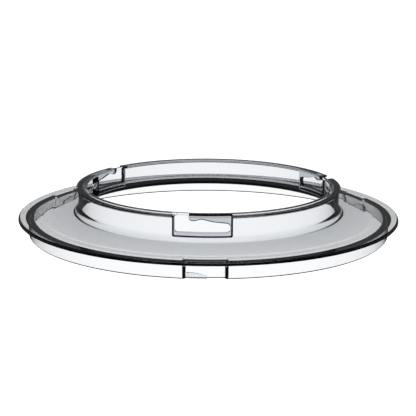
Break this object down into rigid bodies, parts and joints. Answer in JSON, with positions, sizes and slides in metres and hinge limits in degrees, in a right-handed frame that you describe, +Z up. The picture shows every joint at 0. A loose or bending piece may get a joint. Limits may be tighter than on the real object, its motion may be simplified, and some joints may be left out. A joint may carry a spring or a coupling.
{
  "type": "mixing bowl lid ring",
  "caption": "Clear moulded lid ring for a mixing bowl: a skirted rim drops into the bowl's mouth and a raised collar with bayonet pockets takes a smaller lid or a feed chute.",
  "frame": {"origin": "centre of the ring at the level of the skirt's foot", "axes": "+Z up along the ring's axis, out of the bowl; -Y towards the pocket and notch that the picture shows in front"},
  "size_m": [0.24, 0.24, 0.03],
  "materials": {
    "clear_plastic": "clear gloss with a faint smoke tint"
  },
  "bodies": {
    "root": {"lid_ring": "clear_plastic"}
  },
  "joints": []
}
